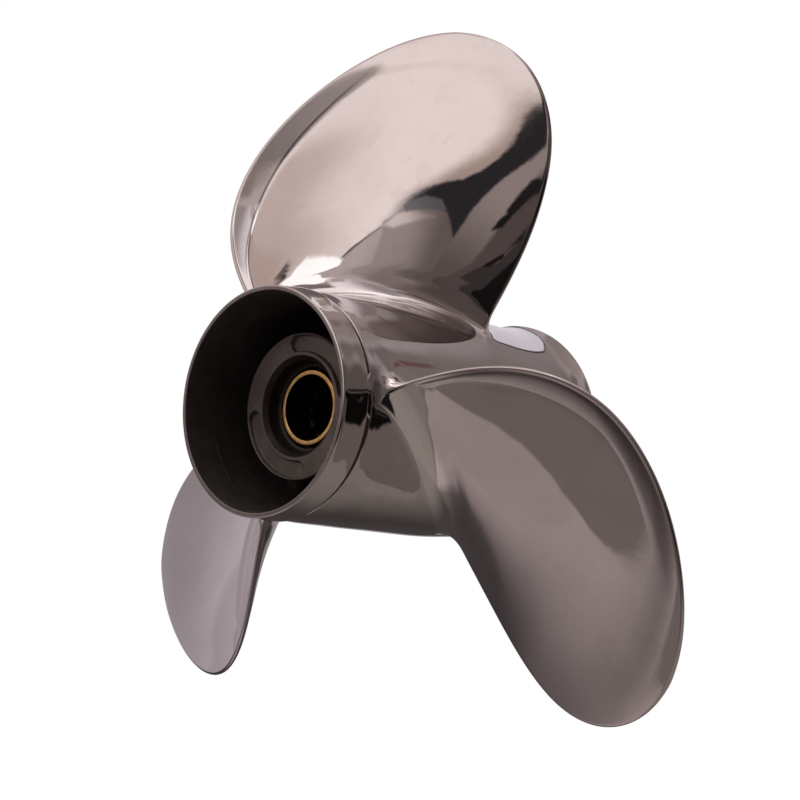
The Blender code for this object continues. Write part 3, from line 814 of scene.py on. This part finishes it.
# ================================================================ webs
def web_object(i, angle):
    """A cast rib between inner hub and barrel, thicker where it meets them."""
    n_r, n_a = 26, 40
    V, faces = [], []
    t = np.linspace(0, 1, n_r)
    aft_core, aft_bar, fwd_core, fwd_bar = -84.5, -70.0, -8.0, -16.0
    loops = []
    for q in t:
        aft = aft_core + (aft_bar - aft_core) * (0.25 * q + 0.75 * q ** 1.6)
        fwd = fwd_core + (fwd_bar - fwd_core) * q
        r_in = 24.9
        r_out = float(np.interp((aft + fwd) / 2, [-90, -60, -20, 30], [36.9, 37.8, 38.4, 38.4]))
        half = 1.9 + 2.6 * ((1 - q) ** 5 + q ** 6)
        ring = []
        for k in range(n_a):
            if k < n_a // 2 - 3:
                w = k / (n_a // 2 - 4)
                ring.append((-half, aft + half + (fwd - aft - 2 * half) * w))
            elif k < n_a // 2:
                w = math.pi * (k - (n_a // 2 - 4)) / 4
                ring.append((-half * math.cos(w), fwd - half + half * math.sin(w)))
            elif k < n_a - 3:
                w = (k - n_a // 2) / (n_a // 2 - 4)
                ring.append((half, fwd - half - (fwd - aft - 2 * half) * w))
            else:
                w = math.pi * (k - (n_a - 4)) / 4
                ring.append((half * math.cos(w), aft + half - half * math.sin(w)))
        pts = []
        for x, y in ring:
            out = float(np.interp(y, [-90, -84, -60, -20, 0, 14], [36.6, 36.75, 37.75, 38.4, 38.4, 38.5]))
            r = math.sqrt(24.9 ** 2 - x * x) * (1 - q) + math.sqrt(out ** 2 - x * x) * q
            pts.append((x, y, r))
        loops.append(pts)
    V = np.array(loops).reshape(-1, 3)
    for r in range(n_r - 1):
        for k in range(n_a):
            k2 = (k + 1) % n_a
            faces.append((r * n_a + k, r * n_a + k2, (r + 1) * n_a + k2, (r + 1) * n_a + k))
    faces.append(tuple(range(n_a)))
    faces.append(tuple(range((n_r - 1) * n_a, n_r * n_a)))
    ob = add_object("web_%d_casting" % (i + 1), V, faces, [CAST_WEB])
    ob.data.transform(Matrix.Rotation(math.radians(angle), 4, "Y"))
    ob.data.set_sharp_from_angle(angle=math.radians(60))
    return place(ob, "cast_steel", "web_%d" % (i + 1))


for i, a in enumerate((71.5, 191.5, 311.5)):
    web_object(i, a)

# ================================================================ camera
cam = bpy.data.objects.new("camera", bpy.data.cameras.new("camera"))
scene.collection.objects.link(cam)
AZ, EL, DIST, SHIFT_X, SHIFT_Y = 41.64, -7.66, 544.0, -40.3, -1.1
az, el = math.radians(AZ), math.radians(EL)
back = Vector((math.sin(az) * math.cos(el), -math.cos(az) * math.cos(el), math.sin(el)))
right = Vector((math.cos(az), math.sin(az), 0))
up = back.cross(right)
at = (-SHIFT_X * right - SHIFT_Y * up + DIST * back - Vector((0, 95, 0))) * MM
cam.matrix_world = Matrix.Translation(at) @ Matrix((right, up, back)).transposed().to_4x4()
cam.data.sensor_fit = "HORIZONTAL"
cam.data.sensor_width = 36
cam.data.lens = 36 * 1645.1 / 800
cam.data.clip_start, cam.data.clip_end = 0.01, 100
scene.camera = cam

# ================================================================ floor
fm, ft = new_material("white_floor")
em = ft.add("ShaderNodeEmission")
em.inputs["Color"].default_value = (1, 1, 1, 1)
em.inputs["Strength"].default_value = 1.0
fo = ft.add("ShaderNodeOutputMaterial")
ft.t.links.new(em.outputs[0], fo.inputs[0])
me = bpy.data.meshes.new("studio_floor")
me.from_pydata([(-8, -8, -0.45), (8, -8, -0.45), (8, 8, -0.45), (-8, 8, -0.45)], [], [(0, 1, 2, 3)])
me.materials.append(fm)
floor = bpy.data.objects.new("studio_floor", me)
scene.collection.objects.link(floor)
for ray in ("visible_diffuse", "visible_glossy", "visible_transmission", "visible_volume_scatter", "visible_shadow"):
    setattr(floor, ray, False)

# ================================================================ studio light
# The studio as directions: az 0 is aft, + to starboard; el above the horizon.
# Each panel is a convex patch of the sky with soft edges, painted over the last.
PANELS = [
    # corners (az, el); softness, deg; colour, or two colours and the directions
    # where each holds; opacity
    ([(-70.9, -28.8), (61.6, -29.8), (62.4, 15.2), (-69.8, 14.5)],
     8, ((104, 94, 92), (74, 64, 63), (-34, 0), (6, -3)), 1),
    ([(43.3, 39.3), (48.9, 10.1), (75.2, -11.4), (125, -12), (127.2, 23.7), (100, 43.4), (70, 42)],
     20, (58, 52, 50), 1),
    ([(118, 28), (116, 8), (132, 2), (142, 10), (141, 22), (130, 30)], 8, (80, 73, 70), 1),
    ([(-20, -10.5), (12, -10.3), (30, -10.5), (46, -10.7), (75.3, -10.3), (76, -34), (40, -31), (-14.3, -29)],
     1.8, (18, 16, 16), 1),
    ([(11, -7), (30, -7.5), (50, -7), (50, -11.2), (30, -11), (12, -10.8)], 0.8, (49, 44, 44), 1),
    ([(30, -7.4), (40, -1.9), (43, 0.6), (46.5, 2.4), (47.5, -11), (30, -11)], 1, (48, 43, 44), 1),
    ([(44, -5.2), (61, -6), (61, -11), (44, -11)], 1.6, (48, 43, 44), 1),
    ([(14, -6.4), (27, -6.5), (30, -6), (30, -7.6), (20, -8)], 0.8, (30, 26, 26), 1),
    ([(28, -6.5), (38.5, -3), (36, -6), (30, -7.6)], 0.8, (22, 18, 18), 1),
    ([(-9.5, -0.5), (39.5, 1.7), (61.1, 13.3), (61.1, 19.4), (32, 14.3), (-3.7, 2.5)],
     2, ((130, 118, 116), (84, 74, 71), (9, 5), (46, 8)), 1),
    ([(2.4, -0.9), (5, 0.9), (16, 1.3), (17, -1), (13, -1.6), (9, -2.9), (4.4, -3)], 1, (28, 25, 26), 1),
    ([(14, 0.7), (19, 1.6), (23.6, 3.5), (24.3, 2.2), (21, -0.6), (14, -1.4)], 0.8, (22, 21, 22), 1),
    ([(-11.7, 6.2), (-9, 3.5), (-3.7, 2.2), (32, 14.1), (22.7, 19.1), (-0.7, 25.9)], 0.8, (37, 35, 37), 1),
    ([(22.7, 17.2), (19.1, 27.5), (10.4, 28.8), (10.2, 18)], 0.8, (37, 35, 37), 1),
    ([(-20, 68), (4, 66), (44.9, 65.4), (60, 65.1), (109.9, 66), (160, 72), (-112.9, 83.2)],
     8, (232, 222, 222), 1),
    ([(122, 44), (140, 44), (160, 43), (180, 43), (198, 44), (205, 62), (122, 62)],
     6, ((134, 122, 121), (122, 112, 110), (130, 55), (170, 50)), 1),
    ([(70, 36), (114, 36), (117, 50), (122, 66), (118, 74), (80, 78), (68, 66), (66, 54)],
     4, ((93, 82, 80), (200, 188, 185), (92, 52), (92, 77)), 1),
    ([(68, 36), (115, 38), (116, 49), (70, 49)], 4, ((70, 62, 60), (97, 85, 84), (76, 42), (106, 42)), 1),
    ([(-8.9, 5.5), (-4, 6.6), (0.4, 8), (5.4, 10.2), (10.1, 12.9), (14.7, 17.6), (17.6, 22.4), (19.2, 27),
      (20.2, 31), (22.4, 38), (24.4, 45), (27.6, 51.4), (33, 58), (34, 70), (-70, 72), (-70, 2)],
     0.9, (152, 136, 128), 1),
    ([(-30, 5), (-8.9, 6.4), (-4, 8.4), (1.4, 11), (5.4, 13.9), (10, 18), (13.9, 23), (17.5, 29),
      (22.5, 36), (26.5, 43), (30, 50), (33, 58), (24, 66), (-6, 69), (-66, 66), (-66, 8)],
     4.5, ((221, 208, 206), (181, 165, 161), (12, 34), (-26, 56)), 1),
    ([(19, 27.5), (22.6, 40.5), (24.6, 46), (27, 51), (30, 60), (60, 62), (61, 30)], 0.8, (40, 34, 35), 1),
    ([(23.5, 36), (25.6, 45), (28.6, 51.3), (33, 60), (60, 62), (60, 40), (50, 36)],
     1, ((166, 153, 152), (128, 117, 116), (38, 50), (50, 36)), 1),
    ([(29, 53), (32, 60), (34, 68), (46, 76.5), (100, 79.6), (124, 76), (90, 66), (58, 52.8)],
     1.6, ((222, 211, 216), (138, 128, 129), (38, 62), (57, 58)), 1),
    ([(20.6, 30.2), (23.2, 39), (30, 40.5), (61, 41), (62.5, 15), (32, 14.3), (23, 18.2)],
     1, ((141, 129, 127), (93, 83, 81), (36, 34), (36, 18)), 1),
    ([(21.4, 33), (24.5, 39), (27, 36), (26.6, 30), (25.2, 22), (23, 22.5), (22.4, 30)],
     1.6, ((192, 178, 176), (132, 120, 118), (24, 34), (24.4, 23)), 1),
    ([(44, 28), (58, 26), (60, 46), (46, 48)], 5, (112, 100, 98), 0.8),
    ([(58, 49), (54.5, 20), (52, -6), (84, -10), (84, 42)],
     6, ((102, 90, 88), (72, 64, 62), (62, 44), (70, 22)), 1),
    ([(19.8, 31), (18.3, 25), (19.3, 19.8), (22.5, 18.3), (22.6, 24.1), (22.2, 31)],
     0.7, ((104, 100, 102), (79, 78, 82), (21, 31), (21, 20)), 1),
    ([(-10, 71), (8, 68.5), (34, 68), (37, 72), (35, 77), (0, 79)], 2.5, (114, 103, 105), 1),
    ([(33.5, 61.5), (36, 63), (43, 58.5), (42, 53.5), (38, 53), (34.5, 57)], 2, (165, 151, 150), 1),
    ([(4, 64.6), (7, 60.8), (15, 58.7), (23, 55.7), (29.5, 52.4), (31.5, 53), (32.5, 58.5), (31, 63.5),
      (24, 67.8), (8, 67.8)],
     0.8, (255, 254, 254), 1),
    ([(-5, 63), (2.8, 62.9), (2.8, 64.9), (-5, 65.1)], 0.5, (30, 24, 25), 1),
    ([(-37.9, 60), (-10.1, 63), (1.5, 64.5), (4, 66), (-4, 69), (-50, 66)], 3, (168, 151, 145), 1),
    ([(68, -14), (108, -12), (109, -33), (64, -36)], 5, (14, 13, 12), 1),
    ([(-150.9, 0.3), (-150.9, -49.2), (-100, -72), (-12.3, -72), (-5, -20), (-40, -2)], 8, (99, 90, 88), 1),
    ([(-57.3, -20.4), (-57.8, -8), (-100, -4), (-100, -24)],
     1.4, ((56, 51, 52), (139, 127, 126), (-87.8, -12.8), (-65, -42.2)), 1),
    ([(-160, 0), (-160, -52), (-132, -66), (-96, -70), (-54, -67), (-48.2, -38), (-47.3, -33),
      (-50.2, -28), (-57, -21.2), (-66, -10)],
     1.4, ((56, 51, 52), (139, 127, 126), (-87.8, -12.8), (-65, -42.2)), 1),
    ([(-75, -38), (-51.2, -38.4), (-45, -43.6), (-39.5, -48), (-33.2, -54), (-33.4, -59), (-44, -68),
      (-90, -64)],
     1.2, (136, 124, 122), 1),
    ([(-150, 2), (-150, -60), (-112, -60), (-99, -44), (-92, -20), (-88, 2)], 8, (57, 52, 53), 0.75),
    ([(-130, 2), (-130, 32), (-54, 33), (-55, 3)],
     5, ((134, 126, 130), (158, 150, 155), (-62, 22), (-104, 11)), 1),
    ([(-130, -4), (-130, 9), (-84, 8), (-86, -4)], 3, (147, 137, 143), 1),
    ([(134, 26), (136, 42), (150, 42), (152, 26)], 6, (102, 92, 91), 1),
    ([(124, 24), (134, 30), (134, 52), (180, 50), (-150, 50), (-140, 8), (179.9, 20.4), (150, 20)],
     7, ((108, 99, 96), (116, 108, 107), (150, 30), (178, 38)), 1),
    ([(-173, 38.2), (-172, 29.2), (-150, 13.2), (-141, 6), (-136, 11), (-139.6, 33), (-153, 41.6)],
     0.9, (40, 36, 37), 1),
    ([(-171, 38), (-170.2, 30.3), (-150, 15), (-142, 8), (-138, 12), (-142, 32), (-155, 40)],
     1.5, (184, 178, 186), 1),
    ([(-150.8, 2.2), (-130, 2), (-130, -8), (-143, -8)], 3, (125, 119, 121), 1),
    ([(140, -40), (128, -50), (135, -64), (-120, -64), (-112, -36), (-126, -9), (-146, -8), (-165, -34),
      (175, -40)],
     5, ((104, 96, 93), (54, 50, 48), (172, -50), (-146, -28)), 1),
    ([(142.3, 31.2), (145.5, 33), (147, 32.3), (145.5, 30.2), (142.6, 29.9)], 1.2, (92, 70, 70), 1),
]
# bare studio by elevation: colour, el
BASE = [((112, 103, 99), -90), ((110, 101, 98), -45), ((108, 100, 98), -10), ((116, 108, 108), 10),
        ((134, 125, 126), 35), ((160, 150, 152), 62), ((205, 196, 196), 90)]


def direction(az, el):
    az, el = math.radians(az), math.radians(el)
    return Vector((math.sin(az) * math.cos(el), -math.cos(az) * math.cos(el), math.sin(el)))


world = bpy.data.worlds.new("studio")
scene.world = world
world.cycles.sampling_method = "NONE"      # the steel finds it all by reflection
world.use_nodes = True
w = Tree(world.node_tree)
tc = w.add("ShaderNodeTexCoord")
D = w.vec("NORMALIZE", tc.outputs["Generated"])
sep = w.add("ShaderNodeSeparateXYZ")
w.put(sep, 0, D)
z = sep.outputs["Z"]
col = None
for (c0, e0), (c1, e1) in zip(BASE, BASE[1:]):
    s0, s1 = math.sin(math.radians(e0)), math.sin(math.radians(e1))
    if col is None:
        col = rgba(lin(*c0))
    col = w.mix(w.ramp(z, s0, s1, kind="LINEAR"), col, rgba(lin(*c1)))
for corners, soft, srgb, opacity in PANELS:
    dirs = [direction(*c) for c in corners]
    middle = sum(dirs, Vector()).normalized()
    best = None
    for a, b in zip(dirs, dirs[1:] + dirs[:1]):
        n = a.cross(b).normalized()
        if n.dot(middle) < 0:
            n = -n
        v = w.vec("DOT_PRODUCT", D, tuple(n))
        best = v if best is None else w.math("MINIMUM", best, v)
    h = math.radians(soft) / 2
    mask = w.ramp(best, -h, h, 0.0, float(opacity))
    if isinstance(srgb[0], tuple):
        a, b = direction(*srgb[2]), direction(*srgb[3])
        g = b - a
        t = w.ramp(w.vec("DOT_PRODUCT", D, tuple(g)), a.dot(g), b.dot(g))
        shade = w.mix(t, rgba(lin(*srgb[0])), rgba(lin(*srgb[1])))
    else:
        shade = rgba(lin(*srgb))
    col = w.mix(mask, col, shade)
bg = w.add("ShaderNodeBackground")
w.put(bg, "Color", col)
bg.inputs["Strength"].default_value = 1.59
white = w.add("ShaderNodeBackground")
white.inputs["Color"].default_value = (1, 1, 1, 1)
white.inputs["Strength"].default_value = 1.0
lp = w.add("ShaderNodeLightPath")
pick = w.add("ShaderNodeMixShader")
w.put(pick, 0, lp.outputs["Is Camera Ray"])
w.t.links.new(bg.outputs[0], pick.inputs[1])
w.t.links.new(white.outputs[0], pick.inputs[2])
wo = w.add("ShaderNodeOutputWorld")
w.t.links.new(pick.outputs[0], wo.inputs[0])

scene.view_settings.view_transform = "Standard"
scene.view_settings.look = "None"
scene.cycles.max_bounces = 10
scene.cycles.glossy_bounces = 8
scene.cycles.sample_clamp_indirect = 6
